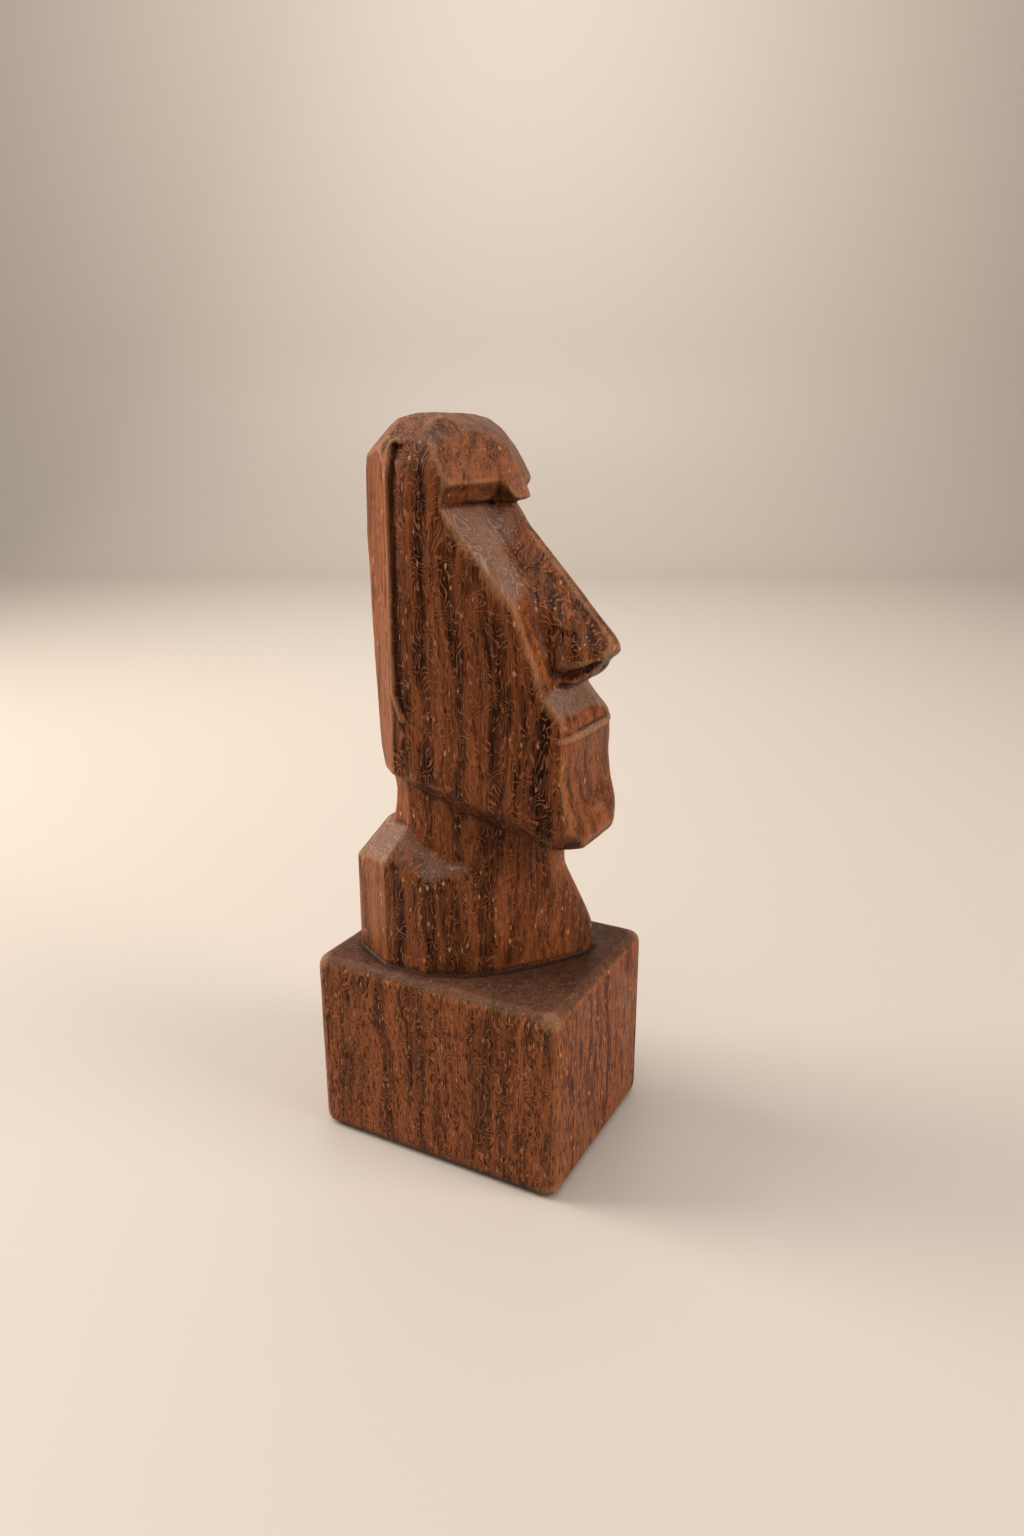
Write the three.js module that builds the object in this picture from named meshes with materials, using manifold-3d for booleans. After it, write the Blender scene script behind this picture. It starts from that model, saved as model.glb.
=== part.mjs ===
// A carved wooden moai: a long-faced head and bust on a block plinth, all cut from one billet.
//
// Millimetres. The figure looks along -Y, its left hand is +X and +Z is up.
// The origin is the centre of the plinth's underside.
//
// The carving is laid out in three plain directions: forward (towards the face), across
// (towards the figure's left, mirrored for its right) and up (height above the plinth's top).

import * as THREE from 'three';
import { mergeVertices } from 'three/addons/utils/BufferGeometryUtils.js';
import { ConvexGeometry } from 'three/addons/geometries/ConvexGeometry.js';
import { RoundedBoxGeometry } from 'three/addons/geometries/RoundedBoxGeometry.js';
import Module from 'manifold-3d';

// ---------------------------------------------------------------- driving dimensions

const PLINTH = { depth: 75.5, width: 59.5, height: 54.7, edge: 3.4 };

const BUST = {
  back: -30.2, backHalf: 17.5, backRim: 28,
  cornerForward: -16.5, cornerHalf: 24.8, cornerRim: 30.5,
  breastForward: 29, breastRim: 7,
  sunk: 2,
};

const NECK = { back: -17, front: 24, half: 19.2, frontHalf: 4, top: 66 };

// The neck's left half in plan, from the throat to the nape, and how high the bust meets it:
// [forward, across, up].
const NECK_FOOT = [
  [NECK.front, NECK.frontHalf, 28],
  [18, 10.8, 29],
  [8, 15.6, 31],
  [-2, NECK.half - 0.5, 33.5],
  [-11.5, NECK.half, 39.6],
  [-22, 13.6, 39.4],
];

const HEAD = {
  back: -24.4, backHalf: 15.2,
  half: 23.1, faceHalf: 20.8, mouthHalf: 15,
  top: 144.8,
  jawAtChin: 38, jawAtNape: 54,
};

const BROW = {
  forward: 14.3, up: 126.2,
  ridgeForward: 9.9, ridgeHalf: 5.8, ridgeUp: 129.8,
  ridgeTopForward: 5.8, ridgeTopUp: 137,
  templeForward: 4.2, templeHalf: 22, templeUp: 129.2,
};

const EYE = { forward: 12.6, across: 6.2, up: 124.9, radius: 4.4 };

const NOSE = {
  ridgeHalf: 1.3,
  rootForward: 13.6, rootUp: 122,
  bridgeForward: 14.3, bridgeUp: 118,
  tipForward: 38.7, tipUp: 89.8,
  baseUp: 80.6,
};

const LIP_TOP = 80;
const MOUTH = { up: 69.4, half: 13, forward: 32.6, gap: 1, depth: 1.3, droop: 0.2 };
const CHIN = { forward: 36.2, up: 41, facetHalf: 9.5 };
const EAR = { back: -12.9, top: 138.7, bottom: 70, width: 4.6, rim: 0.9, proud: 0.4, lean: 10 };

// ---------------------------------------------------------------- solids

const wasm = await Module();
wasm.setup();

function toSolid(geometry) {
  const bare = geometry.clone();
  bare.deleteAttribute('normal');
  bare.deleteAttribute('uv');
  const merged = mergeVertices(bare, 1e-4);
  return new wasm.Manifold(new wasm.Mesh({
    numProp: 3,
    vertProperties: new Float32Array(merged.attributes.position.array),
    triVerts: new Uint32Array(merged.index.array),
  }));
}

function toGeometry(solid) {
  const mesh = solid.getMesh();
  const geometry = new THREE.BufferGeometry();
  geometry.setAttribute('position', new THREE.BufferAttribute(mesh.vertProperties, 3));
  geometry.setIndex(new THREE.BufferAttribute(mesh.triVerts, 1));
  geometry.computeVertexNormals();
  return geometry;
}

function place(forward, across, up) {
  return new THREE.Vector3(across, -forward, up);
}

const FORWARD = place(1, 0, 0);
const LEFT = place(0, 1, 0);
const RIGHT = place(0, -1, 0);
const UP = place(0, 0, 1);
const FAR = 60;

function extruded(outline, length, xAxis, yAxis, zAxis, start) {
  const shape = new THREE.Shape(outline.map(([x, y]) => new THREE.Vector2(x, y)));
  const geometry = new THREE.ExtrudeGeometry(shape, { depth: length, bevelEnabled: false });
  const matrix = new THREE.Matrix4().makeBasis(xAxis, yAxis, zAxis).setPosition(start);
  return toSolid(geometry.applyMatrix4(matrix));
}

// A prism across the figure, from an outline of [forward, up] points.
function sidePrism(outline, from, to) {
  return extruded(outline, to - from, FORWARD, UP, RIGHT, place(0, to, 0));
}

// An upright prism, from an outline of [forward, across] points.
function planPrism(outline, from, to) {
  return extruded(outline, to - from, FORWARD, LEFT, UP, place(0, 0, from));
}

// A prism that points forward, from an outline of [across, up] points.
function frontPrism(outline, from, to) {
  return extruded(outline, to - from, LEFT, UP, FORWARD, place(from, 0, 0));
}

// The room between two heights on one side of the figure.
function layer(low, high, side) {
  const outline = [[-FAR, low], [FAR, low], [FAR, high], [-FAR, high]];
  return sidePrism(outline, side > 0 ? 0 : -FAR, side > 0 ? FAR : 0);
}

// What one flat chisel cut takes away: everything beyond the plane through three points, on
// the side away from `kept`.
function flatCut(a, b, c, kept) {
  const size = 400;
  const outward = new THREE.Plane().setFromCoplanarPoints(a, b, c).normal;
  if (outward.dot(kept.clone().sub(a)) > 0) outward.negate();
  const geometry = new THREE.BoxGeometry(size, size, size);
  geometry.translate(0, 0, size / 2);
  geometry.applyQuaternion(new THREE.Quaternion().setFromUnitVectors(UP, outward));
  geometry.translate(a.x, a.y, a.z);
  return toSolid(geometry);
}

function ellipsoid(centre, radii) {
  const geometry = new THREE.SphereGeometry(1, 20, 14);
  geometry.scale(radii.across, radii.forward, radii.up);
  geometry.translate(centre.x, centre.y, centre.z);
  return toSolid(geometry);
}

// A round gouge stroke between two points.
function gouge(start, end, startRadius, endRadius) {
  const along = end.clone().sub(start);
  const middle = start.clone().add(end).multiplyScalar(0.5);
  const geometry = new THREE.CylinderGeometry(endRadius, startRadius, along.length(), 20);
  const cylinderAxis = new THREE.Vector3(0, 1, 0);
  geometry.applyQuaternion(new THREE.Quaternion().setFromUnitVectors(cylinderAxis, along.normalize()));
  geometry.translate(middle.x, middle.y, middle.z);
  return toSolid(geometry);
}

// A whole plan outline from its left half, given as [forward, across] or
// [forward, across, up] points.
function mirrored(half) {
  return half.concat(half.slice().reverse().map(([forward, across, ...up]) => [forward, -across, ...up]));
}

// The same stroke on both sides of the figure: `make` gets 1 for its left and -1 for its right.
function cutBothSides(body, make) {
  return body.subtract(make(1)).subtract(make(-1));
}

function addBothSides(body, make) {
  return body.add(make(1)).add(make(-1));
}

// Flat cuts, each through three [forward, across, up] points and only on its own side of the
// middle. Both sides get the same cut unless `sides` names one: 1 is the figure's left.
function chisel(body, kept, cuts) {
  let carved = body;
  for (const { through, sides = [1, -1], from = -FAR, to = 3 * FAR } of cuts) {
    for (const side of sides) {
      const [a, b, c] = through.map(([forward, across, up]) => place(forward, side * across, up));
      carved = carved.subtract(flatCut(a, b, c, kept).intersect(layer(from, to, side)));
    }
  }
  return carved;
}

// ---------------------------------------------------------------- plinth

function makePlinth() {
  const geometry = new RoundedBoxGeometry(PLINTH.width, PLINTH.depth, PLINTH.height, 3, PLINTH.edge);
  geometry.translate(0, 0, -PLINTH.height / 2);
  return toSolid(geometry);
}

// ---------------------------------------------------------------- bust and neck

// The bust is a little turned: its breast points to the figure's left of its face.
// Upright walls rise from the foot to the rim, and slopes close in from the rim to the neck.
function makeBust() {
  const rim = [
    [BUST.back, BUST.backHalf, BUST.backRim],
    [BUST.cornerForward, BUST.cornerHalf, BUST.cornerRim],
    [-4, 25, 27],
    [12, 21, 19],
    [22, 17, 10],
    [BUST.breastForward, 13, BUST.breastRim],
    [BUST.breastForward, 8.5, BUST.breastRim],
    [22, -2.4, 13],
    [14, -13.2, 18],
    [6.5, -19.6, 21.5],
    [-4, -24.6, 26],
    [BUST.cornerForward, -BUST.cornerHalf, BUST.cornerRim],
    [BUST.back, -BUST.backHalf, BUST.backRim],
  ];
  const foot = rim.map(([forward, across]) => [forward, across, -BUST.sunk]);
  const corners = [...foot, ...rim, ...mirrored(NECK_FOOT)];
  return toSolid(new ConvexGeometry(corners.map((corner) => place(...corner))));
}

function makeNeck() {
  const base = NECK_FOOT[0][2];
  const nape = [
    [-24, 33.7],
    [-19.4, 38.8],
    [NECK.back - 0.8, 44],
    [NECK.back, 49],
    [-19.4, 55],
    [-21.8, 61],
    [-20, NECK.top],
    [26, NECK.top],
    [26, base],
    [-24, base],
  ];
  return planPrism(mirrored(NECK_FOOT), base, NECK.top).intersect(sidePrism(nape, -30, 30));
}

// ---------------------------------------------------------------- head

const MIDDLE_OF_HEAD = place(0, 0, 90);

// The head without its nose, seen from the side.
function headProfile() {
  return [
    // Up the back and over the crown.
    [-20.9, 61],
    [HEAD.back + 2, 76],
    [HEAD.back + 0.5, 96],
    [HEAD.back - 0.5, 114],
    [HEAD.back + 0.3, 132],
    [-22.8, 137.6],
    [-19.2, 142.2],
    [-12.4, HEAD.top],
    [-6, HEAD.top],
    [0.4, 142.1],
    // Down the forehead and in under the brow.
    [6.8, 138.3],
    [9.8, 134.9],
    [12.6, 131.4],
    [BROW.forward, BROW.up + 1.2],
    [BROW.forward - 0.2, BROW.up - 1.8],
    [BROW.forward - 1.4, 121.8],
    [10.5, 120.8],
    // Behind the nose, then the lips.
    [21.5, 107.5],
    [25.8, 94],
    [26.2, LIP_TOP],
    [31.4, 73.2],
    [MOUTH.forward - 0.4, MOUTH.up],
    [MOUTH.forward + 0.2, MOUTH.up - MOUTH.gap],
    // The hollow over the chin, the chin and the jaw.
    [MOUTH.forward, 65.5],
    [MOUTH.forward - 0.9, 59],
    [MOUTH.forward, 51.5],
    [CHIN.forward - 0.6, CHIN.up + 3],
    [CHIN.forward, CHIN.up],
    [CHIN.forward - 1.4, HEAD.jawAtChin],
    [26.4, HEAD.jawAtChin],
    [-13, HEAD.jawAtNape],
    [-18.6, HEAD.jawAtNape + 1.2],
  ];
}

// The head seen from the front, from the jaw to the crown.
function headFront() {
  const half = [
    [18.5, 36],
    [21.6, 46],
    [22.6, 62],
    [HEAD.half, 90],
    [HEAD.half, 128],
    [22.4, 133],
    [20.2, 138.4],
    [15.8, 142.4],
    [8, HEAD.top + 0.3],
  ];
  return half.concat(half.slice().reverse().map(([across, up]) => [-across, up]));
}

function makeHeadBlock() {
  const block = sidePrism(headProfile(), -30, 30).intersect(frontPrism(headFront(), -FAR, FAR));
  return chisel(block, MIDDLE_OF_HEAD, [
    // Chamfers from the ears to the flat back, and the crown's corners behind and in front.
    {
      through: [
        [EAR.back, HEAD.half, 136],
        [EAR.back, HEAD.half, 76],
        [HEAD.back + 0.7, HEAD.backHalf, 110],
      ],
    },
    { through: [[-15, 21, 137.5], [-22.6, 14, 136.5], [-13, 16.5, 142.6]] },
    { through: [[-2.7, 12, 142.9], [2.6, 12, 139.2], [1.5, 6, 142.9]] },
    // The side walls close in towards the face, then turn to the flat mouth and chin.
    { through: [[-8, HEAD.half, 120], [-8, HEAD.half - 0.5, 60], [15, HEAD.faceHalf, 100]] },
    { through: [[18, HEAD.faceHalf - 0.4, 40], [18, HEAD.faceHalf - 0.4, 90], [32, HEAD.mouthHalf, 60]] },
    { through: [[31, HEAD.mouthHalf, 70], [32.4, CHIN.facetHalf, 70], [35.6, CHIN.facetHalf, 43]], to: 70 },
    // The jaw's underside turns up to the side walls.
    { through: [[-5.5, 21.9, 53.2], [27.2, 18.6, 44.2], [26.3, 14, 38]], to: 60 },
    { through: [[27, 15, 38], [34.8, 8.5, 38], [34, 14, 43]], to: 60 },
  ]);
}

// Two frown facets meet in a middle ridge, and a temple facet lies outside each.
function cutForehead(head) {
  const ridge = [BROW.ridgeForward, BROW.ridgeHalf, BROW.ridgeUp];
  const ridgeTop = [BROW.ridgeTopForward, BROW.ridgeHalf, BROW.ridgeTopUp];
  const from = 118;
  return chisel(head, MIDDLE_OF_HEAD, [
    { through: [[BROW.forward - 0.2, 0, BROW.up + 0.4], ridge, ridgeTop], from },
    { through: [[BROW.templeForward, BROW.templeHalf, BROW.templeUp], ridge, ridgeTop], from },
  ]);
}

// Cheek planes fall forward from the eyes, past the nose and on to the upper lip. The face is
// a little turned: its left cheek lies further back than its right.
function cutCheeks(head) {
  const from = LIP_TOP;
  const to = 124;
  return chisel(head, MIDDLE_OF_HEAD, [
    { sides: [-1], from, to, through: [[6.2, 6, 121], [16.9, 8, 107.4], [4, 22.3, 120.1]] },
    { sides: [-1], from, to, through: [[20, 9.5, 99.8], [26.6, 10, LIP_TOP], [20.6, 17, 100]] },
    { sides: [-1], from, to, through: [[19, 20.3, 103], [27, 16.2, LIP_TOP], [24.6, 19, LIP_TOP]] },
    {
      sides: [-1], from: 69, to: LIP_TOP,
      through: [[27, 16.2, LIP_TOP], [24.6, 19, LIP_TOP], [31.2, 16.8, 73]],
    },
    { sides: [1], from, to, through: [[6.2, 6, 121], [15, 8, 108], [8.4, 21, 110.6]] },
    { sides: [1], from: 77, to, through: [[19.6, 9.5, 100], [26.3, 10, 77], [22.9, 18, 77]] },
    { sides: [1], from: 69, to: 77, through: [[26.3, 10, 77], [22.9, 18, 77], [30.8, 14, 70.5]] },
  ]);
}

// One round gouge stroke under each brow, and a deep pit at the inner corner of each eye.
function cutEyes(head) {
  const stroke = (side) => gouge(
    place(EYE.forward, side * EYE.across, EYE.up),
    place(4.2, side * 28, EYE.up - 0.6), EYE.radius, EYE.radius);
  const pit = (side) => ellipsoid(
    place(10.2, side * 5.8, EYE.up - 0.9), { forward: 3.6, across: 2, up: 2.6 });
  return cutBothSides(cutBothSides(head, stroke), pit);
}

function makeNose() {
  const outline = [
    [2, 112],
    [NOSE.rootForward - 6, NOSE.rootUp + 5],
    [NOSE.rootForward + 0.3, NOSE.rootUp + 3],
    [NOSE.rootForward, NOSE.rootUp],
    [NOSE.bridgeForward, NOSE.bridgeUp],
    [NOSE.tipForward - 2.2, NOSE.tipUp + 3.8],
    [NOSE.tipForward - 0.6, NOSE.tipUp + 1.8],
    [NOSE.tipForward, NOSE.tipUp - 0.2],
    [NOSE.tipForward - 0.5, NOSE.tipUp - 2.2],
    [NOSE.tipForward - 2.6, NOSE.tipUp - 4.3],
    [30.4, NOSE.baseUp],
    [27, NOSE.baseUp],
    [10, 88],
  ];
  // A narrow flat ridge between two sides that open out to the wings.
  let nose = chisel(sidePrism(outline, -16, 16), place(15, 0, 100), [
    {
      through: [
        [NOSE.bridgeForward, NOSE.ridgeHalf, NOSE.bridgeUp],
        [NOSE.tipForward - 2.2, NOSE.ridgeHalf + 0.4, NOSE.tipUp + 3.8],
        [16.6, 7.4, 108],
      ],
    },
    { through: [[24, 9.4, 120], [24, 9.4, 80], [34, 6.4, 80]] },
  ]);
  // Wings, the crease above them and the nostrils beneath.
  nose = addBothSides(nose, (side) => ellipsoid(
    place(26.4, side * 2.6, 87.3), { forward: 10, across: 7.9, up: 7.9 }));
  nose = cutBothSides(nose, (side) => gouge(
    place(20.5, side * 11.6, 94.6), place(31, side * 8, 92.8), 1.9, 0.9));
  return cutBothSides(nose, (side) => gouge(
    place(28.2, side * 9.6, 81.2), place(37, side * 4, 85.8), 2.4, 1.2));
}

// Takes the inside of `stroke` down by `depth`, following the surface of `body`.
function sink(body, stroke, direction, depth) {
  const floor = body.translate(direction.clone().multiplyScalar(-depth).toArray());
  return body.subtract(stroke.subtract(floor));
}

function cutMouth(head) {
  const strips = 8;
  const upper = [];
  for (let i = 0; i <= strips; i += 1) {
    const bend = 2 * i / strips - 1;
    upper.push([MOUTH.half * bend, MOUTH.up - MOUTH.droop * bend ** 2]);
  }
  const lower = upper.slice().reverse().map(([across, up]) => [across, up - MOUTH.gap]);
  return sink(head, frontPrism(upper.concat(lower), 20, FAR), FORWARD, MOUTH.depth);
}

// The outline of a long ear with a round top, drawn in by `inset` from its edges.
function earOutline(inset) {
  const radius = EAR.width / 2;
  const arcs = 8;
  const outline = [];
  for (let i = 0; i <= arcs; i += 1) {
    const angle = Math.PI * i / arcs;
    outline.push([
      EAR.back + radius + (radius - inset) * Math.cos(angle),
      EAR.top - radius + (radius - inset) * Math.sin(angle),
    ]);
  }
  outline.push([EAR.back + inset, EAR.bottom + 7]);
  outline.push([EAR.back + 2.4 + inset, EAR.bottom + inset]);
  outline.push([EAR.back + 8.4 - inset, EAR.bottom - 3.4 + inset]);
  return outline;
}

// Long ears: a thin rim stands proud up the back and over the top. The hollow in front of it
// is deepest along the rim and runs out to the side wall.
function carveEars(head) {
  const outer = HEAD.half + EAR.proud;
  const inner = 14;
  const endOfArch = EAR.back + 0.75 * EAR.width;
  let eared = addBothSides(head, (side) => {
    const band = sidePrism(earOutline(0), side > 0 ? inner : -outer, side > 0 ? outer : -inner);
    const leaning = [[-20, outer, 131], [0, outer, 131], [-20, outer - 2.2, EAR.top]];
    const [a, b, c] = leaning.map(([forward, across, up]) => place(forward, side * across, up));
    const front = sidePrism([[endOfArch, 0], [FAR, 0], [FAR, 3 * FAR], [endOfArch, 3 * FAR]], -FAR, FAR);
    return band.subtract(flatCut(a, b, c, MIDDLE_OF_HEAD)).subtract(front);
  });
  for (const side of [1, -1]) {
    const stroke = sidePrism(earOutline(EAR.rim), side > 0 ? inner : -FAR, side > 0 ? FAR : -inner);
    const hinge = place(EAR.back + EAR.width, side * HEAD.half, 0).toArray();
    const floor = head
      .translate(hinge.map((value) => -value))
      .rotate([0, 0, side * EAR.lean])
      .translate(hinge);
    eared = eared.subtract(stroke.subtract(floor));
  }
  return eared;
}

function makeHead() {
  const block = cutCheeks(cutForehead(makeHeadBlock()));
  return carveEars(cutMouth(cutEyes(block))).add(makeNose());
}

// ---------------------------------------------------------------- the part

const wood = new THREE.MeshStandardMaterial({ color: 0x5a3020, roughness: 0.42, metalness: 0 });
wood.name = 'varnished_wood';

const figure = makePlinth().add(makeBust()).add(makeNeck()).add(makeHead());
const statuette = new THREE.Mesh(toGeometry(figure.translate([0, 0, PLINTH.height])), wood);
statuette.name = 'moai_statuette';

const part = new THREE.Group();
part.add(statuette);

export default part;
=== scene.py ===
"""A carved and varnished wooden moai on its block plinth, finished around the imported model."""
import math

import bmesh
import bpy
import numpy as np
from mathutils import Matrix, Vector, noise


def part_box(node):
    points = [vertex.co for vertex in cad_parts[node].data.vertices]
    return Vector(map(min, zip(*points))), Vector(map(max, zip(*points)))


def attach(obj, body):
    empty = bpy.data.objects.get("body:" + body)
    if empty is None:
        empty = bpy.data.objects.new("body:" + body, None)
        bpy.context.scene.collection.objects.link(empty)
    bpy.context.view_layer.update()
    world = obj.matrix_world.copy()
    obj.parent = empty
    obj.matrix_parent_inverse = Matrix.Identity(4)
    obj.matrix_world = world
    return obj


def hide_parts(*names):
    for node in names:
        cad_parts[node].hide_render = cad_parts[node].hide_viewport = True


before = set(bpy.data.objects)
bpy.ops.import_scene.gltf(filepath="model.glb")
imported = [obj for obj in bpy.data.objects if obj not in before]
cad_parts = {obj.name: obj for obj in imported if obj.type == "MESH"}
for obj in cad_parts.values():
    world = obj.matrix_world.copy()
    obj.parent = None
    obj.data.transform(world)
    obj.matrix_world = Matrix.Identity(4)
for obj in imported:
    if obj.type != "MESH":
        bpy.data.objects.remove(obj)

bl_info = {
    "name": "Moai Statuette",
    "version": (1, 0, 0),
    "blender": (4, 5, 0),
    "location": "3D View > Sidebar > Moai",
    "description": "Carves and varnishes a wooden moai statuette and sets its studio stage",
    "category": "Object",
}

NODE = "moai_statuette"
SLOT = "varnished_wood"
MM = 0.001
FLOOR_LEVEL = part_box(NODE)[0].z

# The share of the way to its neighbours' mean that a point moves in one full round of smoothing.
FULL_STEP = 0.5

# In millimetres: the raised edge of the lower lip, and the extra depth of the eye corners.
LIP_EDGE = 0.35
EYE_PIT = 1.2

# Radians that a sine wave turns through as its noise rises from 0 to 1. The crests of the waves
# are the light lines of the curls and of the growth rings.
CURL_TURN = 88.0
RING_TURN = 95.0

# The tone at which the lightest wood stops and a dark streak in it starts.
STREAK_EDGE = 0.9999


# ---------------------------------------------------------------- settings

class MoaiCarvingSettings(bpy.types.PropertyGroup):
    """Sizes of the carving: the worked mesh, its soft edges and its tool marks."""

    plinth_height: bpy.props.FloatProperty(
        name="Plinth height", description="Height of the block under the bust",
        default=0.0547, unit="LENGTH")
    grid: bpy.props.FloatProperty(
        name="Grid", description="Size of the even grid that the form is worked on",
        default=0.00045, unit="LENGTH")
    triangles: bpy.props.IntProperty(
        name="Triangles", description="Most triangles that the finished piece may have",
        default=190000)
    softening: bpy.props.IntProperty(
        name="Softening", description="Rounds of smoothing that wear the edges round",
        default=60)
    plain_softening: bpy.props.FloatProperty(
        name="Plain softening", description="Share of the smoothing that most of the form gets",
        default=0.12, subtype="FACTOR")
    fine_softening: bpy.props.FloatProperty(
        name="Fine softening",
        description="What the finest carving keeps of that share; ears, mouth and nostrils keep more",
        default=0.22, subtype="FACTOR")
    flute_pitch: bpy.props.FloatProperty(
        name="Flute pitch", description="Width of the upright gouge flutes on the side walls",
        default=0.0068, unit="LENGTH")
    flute_depth: bpy.props.FloatProperty(
        name="Flute depth", description="Depth of the upright flutes",
        default=0.00022, unit="LENGTH")
    ripple_size: bpy.props.FloatProperty(
        name="Ripple size", description="Width of the shallow hollows that the chisel leaves",
        default=0.007, unit="LENGTH")
    ripple_depth: bpy.props.FloatProperty(
        name="Ripple depth", description="Depth of those hollows",
        default=0.00016, unit="LENGTH")


class MoaiWoodSettings(bpy.types.PropertyGroup):
    """Colours of the wood, some of which also paint light and shade."""

    # The dark colour also paints the shade in hollows and on undersides.
    dark: bpy.props.FloatVectorProperty(
        name="Dark bands", description="Colour of the darkest bands and pores",
        default=(0.011, 0.0025, 0.0011), subtype="COLOR")
    streak: bpy.props.FloatVectorProperty(
        name="Streaks", description="Colour of the thin dark streaks inside the lightest wood",
        default=(0.088, 0.0165, 0.0050), subtype="COLOR")
    light: bpy.props.FloatVectorProperty(
        name="Light bands", description="Colour of the lightest bands",
        default=(0.37, 0.112, 0.036), subtype="COLOR")
    curl: bpy.props.FloatVectorProperty(
        name="Curls", description="Colour of the thin curled lines",
        default=(0.42, 0.140, 0.055), subtype="COLOR")
    speck: bpy.props.FloatVectorProperty(
        name="Specks", description="Colour of the small light specks and dashes",
        default=(0.62, 0.32, 0.17), subtype="COLOR")
    # End grain and rings are pale purple-grey: the end grain's colour with a painted sheen of cool
    # light on it.
    end: bpy.props.FloatVectorProperty(
        name="End grain", description="Colour of what was cut across the grain",
        default=(0.225, 0.128, 0.090), subtype="COLOR")
    ring: bpy.props.FloatVectorProperty(
        name="Rings", description="Colour of the growth rings on the end grain",
        default=(0.44, 0.33, 0.28), subtype="COLOR")
    # Edges get this colour as rubbed wear and as a painted highlight.
    worn_and_highlit_edge: bpy.props.FloatVectorProperty(
        name="Worn edges", description="Colour of the rubbed edges",
        default=(0.50, 0.26, 0.13), subtype="COLOR")


class MoaiStageSettings(bpy.types.PropertyGroup):
    """The camera, the lights and the pale sweep."""

    camera_place: bpy.props.FloatVectorProperty(
        name="Camera place", description="Where the camera stands",
        default=(-0.2394, -0.1369, 0.1933), subtype="TRANSLATION", unit="LENGTH")
    camera_direction: bpy.props.FloatVectorProperty(
        name="Camera direction", description="Which way the camera looks",
        default=(0.8426, 0.4484, -0.2983), subtype="DIRECTION")
    lens: bpy.props.FloatProperty(
        name="Lens", description="Focal length in millimetres on a 36 mm sensor", default=24.70)
    floor: bpy.props.FloatVectorProperty(
        name="Floor", description="Colour of the pale floor and backdrop",
        default=(0.66, 0.59, 0.52), subtype="COLOR")
    floor_half: bpy.props.FloatProperty(
        name="Floor half width", description="Half the width of the floor",
        default=2.2, unit="LENGTH")
    wall_distance: bpy.props.FloatProperty(
        name="Wall distance", description="From the statuette to where the floor starts to rise",
        default=1.3, unit="LENGTH")


# ---------------------------------------------------------------- carving

def in_figure_axes(points, settings):
    """Forward, across and up of mesh points, in millimetres, with up from the plinth's top."""
    forward = -points[:, 1] / MM
    across = points[:, 0] / MM
    up = (points[:, 2] - settings.plinth_height) / MM
    return forward, across, up


def band(values, low, high, fade):
    """1 between low and high, falling to 0 over `fade` outside them."""
    rise = np.clip((values - low) / fade + 1, 0, 1)
    fall = np.clip((high - values) / fade + 1, 0, 1)
    return rise * fall


def merged_copy(node):
    """A new object with a welded copy of a CAD node's mesh."""
    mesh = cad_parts[node].data.copy()
    mesh.name = "statuette_mesh"
    mesh.materials.clear()
    form = bmesh.new()
    form.from_mesh(mesh)
    bmesh.ops.remove_doubles(form, verts=form.verts, dist=0.002 * MM)
    form.to_mesh(mesh)
    form.free()
    piece = bpy.data.objects.new("carved_statuette", mesh)
    bpy.context.scene.collection.objects.link(piece)
    return piece


def apply_modifiers(piece):
    """Replaces the piece's mesh by what its modifiers make of it."""
    graph = bpy.context.evaluated_depsgraph_get()
    mesh = bpy.data.meshes.new_from_object(piece.evaluated_get(graph))
    old = piece.data
    piece.modifiers.clear()
    piece.data = mesh
    bpy.data.meshes.remove(old)


def remesh(piece, grid):
    worked = piece.modifiers.new("even grid", "REMESH")
    worked.mode = "VOXEL"
    worked.voxel_size = grid
    worked.use_smooth_shade = True
    apply_modifiers(piece)


def read_points(mesh):
    points = np.empty(len(mesh.vertices) * 3, np.float32)
    mesh.vertices.foreach_get("co", points)
    return points.reshape(-1, 3).astype(float)


def write_points(mesh, points):
    mesh.vertices.foreach_set("co", points.astype(np.float32).ravel())
    mesh.update()


def read_normals(mesh):
    normals = np.empty(len(mesh.vertices) * 3, np.float32)
    mesh.vertex_normals.foreach_get("vector", normals)
    return normals.reshape(-1, 3).astype(float)


def read_edges(mesh):
    edges = np.empty(len(mesh.edges) * 2, np.int32)
    mesh.edges.foreach_get("vertices", edges)
    return edges.reshape(-1, 2)


def neighbour_means(values, edges):
    """The mean of each point's neighbours, for values with any number of columns."""
    count = len(values)
    start, end = edges[:, 0], edges[:, 1]
    shares = np.bincount(start, minlength=count) + np.bincount(end, minlength=count)
    columns = []
    for column in values.T:
        total = np.bincount(start, column[end], count) + np.bincount(end, column[start], count)
        columns.append(total / np.maximum(shares, 1))
    return np.stack(columns, 1)


def soften(points, edges, weight, rounds):
    for _ in range(rounds):
        points = points + weight[:, None] * (neighbour_means(points, edges) - points)
    return points


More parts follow.
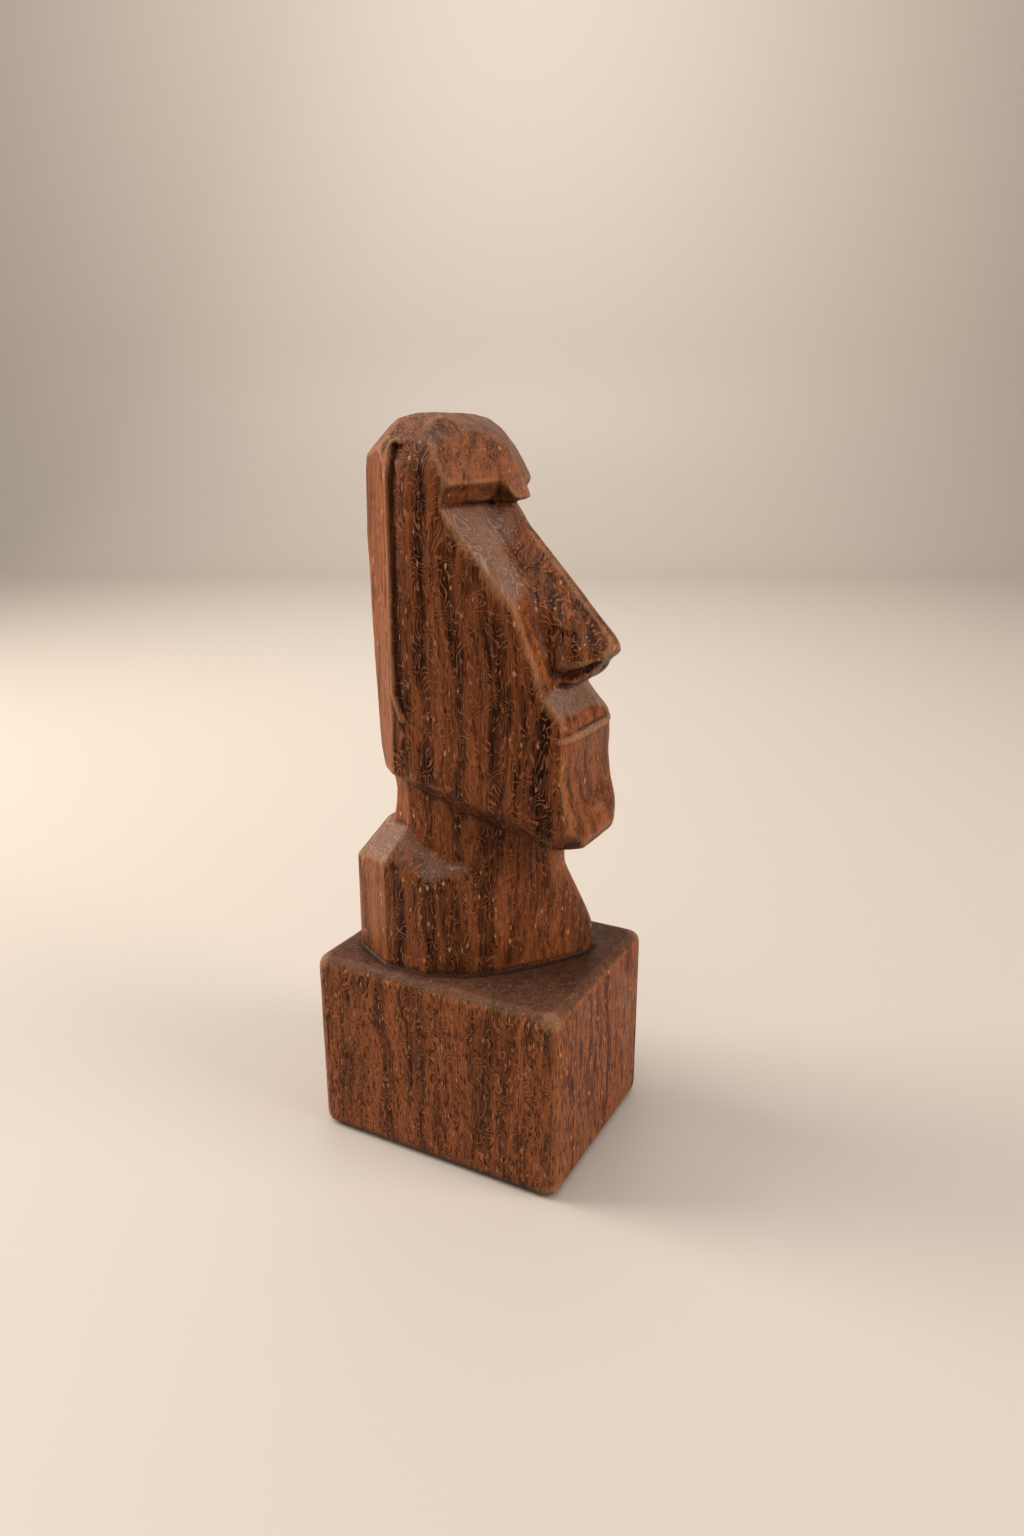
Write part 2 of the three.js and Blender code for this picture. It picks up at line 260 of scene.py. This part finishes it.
def softness(points, settings):
    """How much of the smoothing each point gets: least where the carving is fine, most where
    broad planes of the face and bust run into each other."""
    forward, across, up = in_figure_axes(points, settings)
    beside = np.abs(across)
    ears = band(forward, -14.5, -5, 1.5) * band(beside, 19, 40, 1) * band(up, 66, 141, 1)
    mouth = band(forward, 25, 40, 1) * band(up, 67, 71, 0.8)
    nostrils = band(forward, 25, 40, 2) * band(beside, 0, 12, 1.5) * band(up, 79, 86, 1.5)
    fine = np.maximum(0.6 * ears, np.maximum(0.7 * mouth, 0.8 * nostrils))
    face_edges = band(forward, 2, 40, 4) * band(beside, 9, 30, 1.5) * band(up, 42, 118, 3)
    brows = band(forward, -4, 20, 3) * band(up, 119, 140, 2)
    brows += 1.1 * band(forward, 11, 20, 2) * band(across, 3, 30, 2) * band(up, 121, 131, 2)
    shoulders = band(forward, -12, 40, 3) * band(up, 3, 36, 3)
    broad = np.maximum(face_edges, np.maximum(0.45 * brows, 0.7 * shoulders))
    share = settings.plain_softening + (1 - settings.plain_softening) * broad
    return FULL_STEP * share * (1 - fine * (1 - settings.fine_softening))


def noise_field(points, scale, seed):
    """Smooth noise between about -1 and 1, with one scale for each axis, per metre."""
    shift = Vector((seed * 7.13, seed * 3.71, seed * 5.39))
    scaled = points * np.asarray(scale)
    return np.array([noise.noise(Vector(place) + shift) for place in scaled])


def tool_marks(points, normals, settings):
    """How far each point moves out along its normal, in metres."""
    forward, across, up = in_figure_axes(points, settings)
    beside = np.abs(across)
    side_wall = np.clip((np.abs(normals[:, 0]) - 0.75) / 0.2, 0, 1)
    figure = np.clip(up / 4, 0, 1)
    smooth_ears = 1 - band(forward, -14, -1, 1.5) * band(up, 68, 140, 2)
    lip = band(forward, 24, 40, 2) * band(beside, 0, 14, 3) * band(up, 67.2, 68.1, 0.8)
    eyes = band(forward, 9.5, 12, 2) * band(beside, 5.5, 8, 2) * band(up, 121.3, 123, 1.2)
    drift = noise_field(points, (20, 20, 9), 1)
    phase = forward * MM / settings.flute_pitch + 1.3 * drift
    mean_of_scallop = 0.64
    scallop = np.abs(np.sin(math.pi * phase)) - mean_of_scallop
    flutes = settings.flute_depth * scallop * side_wall * figure * smooth_ears
    spread = 1 / settings.ripple_size
    ripple = settings.ripple_depth * noise_field(points, (spread, spread, spread * 0.6), 2)
    # Fine raised grit round the foot of the figure and the plinth's top edge.
    grit = np.clip(noise_field(points, (420, 420, 420), 4) - 0.1, 0, 1)
    ripple += settings.ripple_depth * 0.7 * grit * band(up, -3, 1.5, 1.5)
    ripple *= 0.45 + 0.55 * figure
    return flutes + ripple + MM * (LIP_EDGE * lip - EYE_PIT * eyes)


def sharpness_of(points, normals, edges):
    """Where the form is sharp: positive on edges that hands rub, painted lighter as wear and as a
    painted highlight; negative in hollows, painted dark as shade.
    """
    inward = neighbour_means(points, edges) - points
    sharp = -(inward * normals).sum(1) / MM
    sharp = sharp[:, None]
    rounds, gain = 6, 60
    for _ in range(rounds):
        sharp = 0.5 * sharp + 0.5 * neighbour_means(sharp, edges)
    return np.clip(sharp[:, 0] * gain, -1, 1)


def facing_light_and_grain(points, normals, settings):
    """How far each point faces along the figure (front or back), up and down, and whether it is
    on the plinth's block. These paint light: forward and back faces are painted lighter, upward
    faces get a painted sheen, and downward faces get painted shade."""
    forward, across, up = in_figure_axes(points, settings)
    ahead = np.clip((-normals[:, 1] - 0.45) / 0.4, 0, 1) * (1 - 0.5 * np.clip(up / 4, 0, 1))
    behind = np.clip((normals[:, 1] - 0.2) / 0.25, 0, 1) * (1 - 0.45 * band(up, -8, 34, 4))
    nose = band(forward, 13, 50, 2) * band(np.abs(across), 0, 9.5, 1.5) * band(up, 82, 124, 2)
    crown = np.clip((up - 126) / 5, 0, 1)
    level = np.clip((normals[:, 2] - 0.36) / 0.2, 0, 1)
    return {
        "front_back_light_and_grain": np.maximum(ahead, behind) - 0.35 * nose,
        "top_sheen_and_end_grain": level * (1 - 0.85 * nose) * (1 - 0.7 * crown),
        "underside_shade": np.clip((-0.1 - normals[:, 2]) / 0.4, 0, 1),
        "block": np.clip(1.5 - up, 0, 1),
    }


def store_attribute(mesh, name, values):
    layer = mesh.attributes.new(name, "FLOAT", "POINT")
    layer.data.foreach_set("value", values.astype(np.float32))


def thin_out(piece, most):
    """Collapses edges, flat stretches first, until the piece has `most` triangles."""
    triangles = sum(len(face.vertices) - 2 for face in piece.data.polygons)
    if triangles <= most:
        return
    fewer = piece.modifiers.new("fewer triangles", "DECIMATE")
    fewer.ratio = most / triangles
    apply_modifiers(piece)


def carve(settings):
    piece = merged_copy(NODE)
    remesh(piece, settings.grid)
    mesh = piece.data
    edges = read_edges(mesh)
    points = read_points(mesh)
    points = soften(points, edges, softness(points, settings), settings.softening)
    write_points(mesh, points)
    normals = read_normals(mesh)
    points = points + normals * tool_marks(points, normals, settings)[:, None]
    points[:, 2] = np.maximum(points[:, 2], FLOOR_LEVEL)
    write_points(mesh, points)
    normals = read_normals(mesh)
    store_attribute(mesh, "rub_highlight_and_crease_shade", sharpness_of(points, normals, edges))
    for name, values in facing_light_and_grain(points, normals, settings).items():
        store_attribute(mesh, name, values)
    thin_out(piece, settings.triangles)
    for face in piece.data.polygons:
        face.use_smooth = True
    return piece


# ---------------------------------------------------------------- materials

class Shader:
    """A small helper that adds nodes to a material and joins them up."""

    def __init__(self, name):
        self.material = bpy.data.materials.new(name)
        self.material.use_nodes = True
        self.tree = self.material.node_tree
        self.tree.nodes.clear()

    def add(self, kind, sockets=None, **settings):
        node = self.tree.nodes.new(kind)
        for key, value in settings.items():
            setattr(node, key, value)
        for key, value in (sockets or {}).items():
            if isinstance(value, bpy.types.NodeSocket):
                self.tree.links.new(value, node.inputs[key])
            else:
                node.inputs[key].default_value = value
        return node

    def scaled(self, vector, scale):
        return self.add(
            "ShaderNodeVectorMath", {0: vector, 1: scale}, operation="MULTIPLY").outputs[0]

    def maths(self, operation, first, second=0.0, third=0.0):
        return self.add(
            "ShaderNodeMath", {0: first, 1: second, 2: third}, operation=operation).outputs[0]

    def noise(self, vector, scale, detail=2.0, roughness=0.5, distortion=0.0):
        return self.add("ShaderNodeTexNoise", {
            "Vector": vector, "Scale": scale, "Detail": detail,
            "Roughness": roughness, "Distortion": distortion})

    def spread(self, value, low, high, out_low=0.0, out_high=1.0):
        return self.add("ShaderNodeMapRange", {
            "Value": value, "From Min": low, "From Max": high,
            "To Min": out_low, "To Max": out_high}, interpolation_type="SMOOTHSTEP").outputs[0]

    def mix(self, share, first, second):
        node = self.add("ShaderNodeMix", {"Factor": share}, data_type="RGBA")
        for socket, value in ((node.inputs[6], first), (node.inputs[7], second)):
            if isinstance(value, bpy.types.NodeSocket):
                self.tree.links.new(value, socket)
            else:
                socket.default_value = value
        return node.outputs[2]

    def ramp(self, value, stops):
        """Colours at places that rise from 0 to 1, run into each other in between."""
        node = self.add("ShaderNodeValToRGB", {"Fac": value})
        for place, _ in stops[1:-1]:
            node.color_ramp.elements.new(place)
        for element, (_, colour) in zip(node.color_ramp.elements, stops):
            element.color = colour
        return node.outputs[0]


def opaque(colour):
    return (*colour, 1.0)


def stored(shader, name):
    """The value that the mesh keeps at each point under this name."""
    return shader.add("ShaderNodeAttribute", attribute_name=name).outputs["Fac"]


def grain_bands(shader, place):
    """Upright bands a few millimetres wide, 0 in the dark ones and 1 in the light ones."""
    sway = shader.noise(shader.scaled(place, (0.05, 0.05, 0.035)), 1.0, 1.0).outputs[1]
    bent = shader.add("ShaderNodeVectorMath", {0: sway, 1: (9.0, 9.0, 0.0), 2: place},
                      operation="MULTIPLY_ADD").outputs[0]
    wide = shader.noise(shader.scaled(bent, (0.26, 0.30, 0.006)), 1.0, 3.0, 0.62).outputs[0]
    return shader.spread(wide, 0.36, 0.62)


def curls(shader, place, turn):
    """Thin light lines that run in loops and swirls, like the contours of small hills."""
    hills = shader.noise(shader.scaled(place, (0.20, 0.20, 0.11)), 1.0, 1.5, 0.5, 0.7).outputs[0]
    lines = shader.maths("SINE", shader.maths("MULTIPLY", hills, turn))
    return shader.spread(lines, 0.45, 1.0)


def light_specks(shader, place, size, density, stretch):
    """Small light dots and dashes scattered in the wood."""
    cells = shader.add("ShaderNodeTexVoronoi", {
        "Vector": shader.scaled(place, stretch), "Scale": density, "Randomness": 1.0})
    dots = shader.spread(cells.outputs["Distance"], size, size * 0.45)
    chosen = shader.add("ShaderNodeSeparateColor", {0: cells.outputs["Color"]}).outputs[0]
    return shader.maths("MULTIPLY", dots, shader.spread(chosen, 0.45, 0.8))


def varnished_wood(colours):
    """Dark red-brown wood with a satin varnish, from nested noise in millimetres, with light and
    shade painted in from the stored facing and sharpness values.
    """
    shader = Shader(SLOT)
    coordinates = shader.add("ShaderNodeTexCoord").outputs["Object"]
    place = shader.scaled(coordinates, (1000, 1000, 1000))
    front_back_light_and_grain, top_sheen_and_end_grain, block = stored(shader, "front_back_light_and_grain"), stored(shader, "top_sheen_and_end_grain"), stored(shader, "block")

    # The upright grain: wide bands, fibres, dark streaks in the lightest wood, and dark pores.
    bands = grain_bands(shader, place)
    fibres = shader.noise(shader.scaled(place, (2.4, 2.4, 0.10)), 1.0, 4.0, 0.65).outputs[0]
    pores = shader.noise(shader.scaled(place, (1.5, 1.5, 0.42)), 1.0, 2.0, 0.6, 0.5).outputs[0]
    clouds = shader.noise(shader.scaled(place, (0.06, 0.06, 0.035)), 1.0, 2.0, 0.5).outputs[0]
    # Faces that point forward or back are lightened here: painted light.
    lightening = ((bands, 0.50), (fibres, 1.5), (clouds, 0.55), (front_back_light_and_grain, 0.36), (block, 0.14))
    tone = -0.93
    for layer, share in lightening:
        tone = shader.maths("MULTIPLY_ADD", layer, share, tone)
    colour = shader.ramp(tone, [
        (0.0, opaque(colours.dark)),
        (STREAK_EDGE, opaque(colours.light)),
        (1.0, opaque(colours.streak)),
    ])
    pores = shader.maths("MULTIPLY_ADD", block, 0.05, pores)
    pitted = shader.maths("MULTIPLY", shader.spread(pores, 0.56, 0.68), 0.8)
    colour = shader.mix(pitted, colour, opaque(colours.dark))

    # Curled light lines, weaker on the front and back, and light specks and dashes.
    patches = shader.noise(shader.scaled(place, (0.5, 0.5, 0.35)), 1.0, 2.0, 0.6).outputs[0]
    patches = shader.spread(patches, 0.34, 0.54)
    off_the_front = shader.maths("MULTIPLY_ADD", front_back_light_and_grain, -0.75, 1.0)
    loops = shader.maths("MULTIPLY", curls(shader, place, CURL_TURN), patches)
    loops = shader.maths("MULTIPLY", loops, off_the_front)
    colour = shader.mix(shader.maths("MULTIPLY", loops, 0.7), colour, opaque(colours.curl))
    specks = shader.maths("MAXIMUM", light_specks(shader, place, 0.2, 0.42, (1.0, 1.0, 0.5)),
                          light_specks(shader, place, 0.17, 0.75, (1.0, 1.0, 0.2)))
    colour = shader.mix(shader.maths("MULTIPLY", specks, 0.85), colour, opaque(colours.speck))

    # Growth rings on what was cut across the grain, in pale purple-grey that is also a painted
    # sheen of cool light on faces that point up; on the plinth's block this is darkened again.
    rings = shader.maths(
        "MULTIPLY", curls(shader, shader.scaled(place, (0.8, 0.8, 0.8)), RING_TURN), 0.7)
    end_grain_and_sheen = shader.mix(rings, opaque(colours.end), opaque(colours.ring))
    end_grain_and_sheen = shader.mix(shader.maths("MULTIPLY", block, 0.8), end_grain_and_sheen, opaque(colours.dark))
    colour = shader.mix(shader.maths("MULTIPLY", top_sheen_and_end_grain, 0.7), colour, end_grain_and_sheen)

    # Sharp edges lighter, as rubbed wear and painted highlight; painted shade in hollows and on
    # undersides.
    rub_highlight_and_crease_shade = stored(shader, "rub_highlight_and_crease_shade")
    rub_and_highlight = shader.maths("MULTIPLY", shader.spread(rub_highlight_and_crease_shade, 0.3, 1.0, 0.0, 0.8), fibres)
    colour = shader.mix(rub_and_highlight, colour, opaque(colours.worn_and_highlit_edge))
    # Hollows and creases are darkened: painted shade.
    crease_shade = shader.spread(rub_highlight_and_crease_shade, -0.15, -0.9, 0.0, 0.62)
    colour = shader.mix(crease_shade, colour, opaque(colours.dark))
    # Faces that point down are darkened: painted shade.
    underside_shade = shader.maths("MULTIPLY", stored(shader, "underside_shade"), 0.5)
    colour = shader.mix(underside_shade, colour, opaque(colours.dark))

    # Fibres, curls and specks stand up a little and pores sink in.
    height = shader.maths("MULTIPLY_ADD", loops, 0.5, fibres)
    height = shader.maths("MULTIPLY_ADD", specks, 0.6, height)
    height = shader.maths("MULTIPLY_ADD", pitted, -0.5, height)
    bump = shader.add("ShaderNodeBump", {
        "Height": height, "Strength": 0.5, "Distance": 0.14 * MM}).outputs[0]
    surface = shader.add("ShaderNodeBsdfPrincipled", {
        "Base Color": colour, "Roughness": shader.spread(clouds, 0.3, 0.7, 0.36, 0.5),
        "Normal": bump, "Specular IOR Level": 0.09, "Coat Weight": 0.02, "Coat Roughness": 0.3})
    shader.add("ShaderNodeOutputMaterial", {"Surface": surface.outputs[0]})
    return shader.material


def plain_floor(colour):
    shader = Shader("pale_floor")
    surface = shader.add("ShaderNodeBsdfPrincipled", {
        "Base Color": opaque(colour), "Roughness": 0.55})
    shader.add("ShaderNodeOutputMaterial", {"Surface": surface.outputs[0]})
    return shader.material


# ---------------------------------------------------------------- stage

def sweep(settings):
    """The floor, rolled up into a backdrop behind the statuette."""
    ahead = Vector(settings.camera_direction)
    ahead.z = 0
    ahead.normalize()
    side = Vector((ahead.y, -ahead.x, 0))
    radius = 0.35
    turn_steps = 12
    wall_height = 1.8
    form = bmesh.new()
    left = form.verts.new(-settings.floor_half * (ahead + side))
    right = form.verts.new(-settings.floor_half * (ahead - side))
    edge = form.edges.new((left, right))
    steps = [ahead * (settings.floor_half + settings.wall_distance)]
    for step in range(turn_steps):
        angle = math.pi / 2 * (step + 0.5) / turn_steps
        stride = radius * math.pi / 2 / turn_steps
        steps.append(stride * (math.cos(angle) * ahead + math.sin(angle) * Vector((0, 0, 1))))
    steps.append(Vector((0, 0, wall_height)))
    for stride in steps:
        made = bmesh.ops.extrude_edge_only(form, edges=[edge])["geom"]
        moved = [item for item in made if isinstance(item, bmesh.types.BMVert)]
        edge = next(item for item in made if isinstance(item, bmesh.types.BMEdge)
                    and set(item.verts) == set(moved))
        bmesh.ops.translate(form, verts=moved, vec=stride)
    bmesh.ops.recalc_face_normals(form, faces=form.faces)
    mesh = bpy.data.meshes.new("sweep_mesh")
    form.to_mesh(mesh)
    form.free()
    for face in mesh.polygons:
        face.use_smooth = True
    floor = bpy.data.objects.new("floor_sweep", mesh)
    bpy.context.scene.collection.objects.link(floor)
    return floor


def soft_light(name, place, target, size, power, colour):
    """A rectangular lamp, in metres and watts, that faces the target and isn't seen itself."""
    light = bpy.data.lights.new(name, "AREA")
    light.shape = "RECTANGLE"
    light.size, light.size_y = size
    light.energy = power
    light.color = colour
    lamp = bpy.data.objects.new(name, light)
    lamp.location = place
    lamp.rotation_mode = "QUATERNION"
    lamp.rotation_quaternion = (Vector(target) - Vector(place)).to_track_quat("-Z", "Y")
    lamp.visible_camera = False
    bpy.context.scene.collection.objects.link(lamp)


def light_stage():
    """Warm light on the figure's face and back, a cool one above and a fill on the backdrop."""
    middle = (0, 0, 0.11)
    backdrop = (1.25, 0.75, 0.8)
    soft_light("window_left", (-0.22, 0.85, 0.55), middle, (0.5, 0.9), 11, (1.0, 0.90, 0.78))
    soft_light("window_right", (0.10, -0.90, 0.50), middle, (0.5, 0.7), 6, (1.0, 0.90, 0.78))
    soft_light("skylight", (-0.1, 0.05, 1.0), middle, (0.8, 0.8), 5.5, (0.92, 0.94, 1.0))
    soft_light("wall_wash", (0.5, 0.25, 1.2), backdrop, (0.7, 0.7), 12, (1.0, 0.96, 0.92))
    world = bpy.data.worlds.new("room")
    world.use_nodes = True
    background = world.node_tree.nodes["Background"]
    background.inputs["Color"].default_value = (0.93, 0.88, 0.82, 1)
    background.inputs["Strength"].default_value = 0.10
    bpy.context.scene.world = world


def make_camera(settings):
    lens = bpy.data.cameras.new("camera")
    lens.lens = settings.lens
    lens.sensor_width = 36
    lens.clip_start = 10 * MM
    camera = bpy.data.objects.new("camera", lens)
    camera.location = settings.camera_place
    camera.rotation_mode = "QUATERNION"
    camera.rotation_quaternion = Vector(settings.camera_direction).to_track_quat("-Z", "Y")
    bpy.context.scene.collection.objects.link(camera)
    bpy.context.scene.camera = camera


# ---------------------------------------------------------------- operators

class MOAI_OT_carve_statuette(bpy.types.Operator):
    """Carve the whole figure and its plinth as one worn, tool-marked piece of wood"""

    bl_idname = "moai.carve_statuette"
    bl_label = "Carve Statuette"

    def execute(self, context):
        piece = carve(context.scene.moai_carving)
        piece.data.materials.clear()
        piece.data.materials.append(varnished_wood(context.scene.moai_wood))
        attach(piece, "root")
        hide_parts(NODE)
        return {"FINISHED"}


class MOAI_OT_set_stage(bpy.types.Operator):
    """Set the camera, the soft lights and the pale floor around the statuette"""

    bl_idname = "moai.set_stage"
    bl_label = "Set Stage"

    def execute(self, context):
        settings = context.scene.moai_stage
        floor = sweep(settings)
        floor.data.materials.append(plain_floor(settings.floor))
        light_stage()
        make_camera(settings)
        return {"FINISHED"}


class MOAI_PT_sidebar(bpy.types.Panel):
    """Lists the settings and the steps in the 3D view's sidebar"""

    bl_idname = "MOAI_PT_sidebar"
    bl_label = "Moai Statuette"
    bl_space_type = "VIEW_3D"
    bl_region_type = "UI"
    bl_category = "Moai"

    def draw(self, context):
        layout = self.layout
        for settings, operator in (
            (context.scene.moai_stage, MOAI_OT_set_stage.bl_idname),
            (context.scene.moai_carving, MOAI_OT_carve_statuette.bl_idname),
        ):
            for name in settings.__annotations__:
                layout.prop(settings, name)
            layout.operator(operator)
        for name in context.scene.moai_wood.__annotations__:
            layout.prop(context.scene.moai_wood, name)


SETTINGS = {
    "moai_carving": MoaiCarvingSettings,
    "moai_wood": MoaiWoodSettings,
    "moai_stage": MoaiStageSettings,
}
CLASSES = (*SETTINGS.values(), MOAI_OT_set_stage, MOAI_OT_carve_statuette, MOAI_PT_sidebar)


def register():
    for cls in CLASSES:
        bpy.utils.register_class(cls)
    for name, group in SETTINGS.items():
        setattr(bpy.types.Scene, name, bpy.props.PointerProperty(type=group))


def unregister():
    for name in SETTINGS:
        delattr(bpy.types.Scene, name)
    for cls in reversed(CLASSES):
        bpy.utils.unregister_class(cls)


def main():
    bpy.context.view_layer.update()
    register()
    bpy.context.scene.view_settings.view_transform = "Standard"
    bpy.ops.moai.set_stage()
    bpy.ops.moai.carve_statuette()


if __name__ == "__main__":
    main()
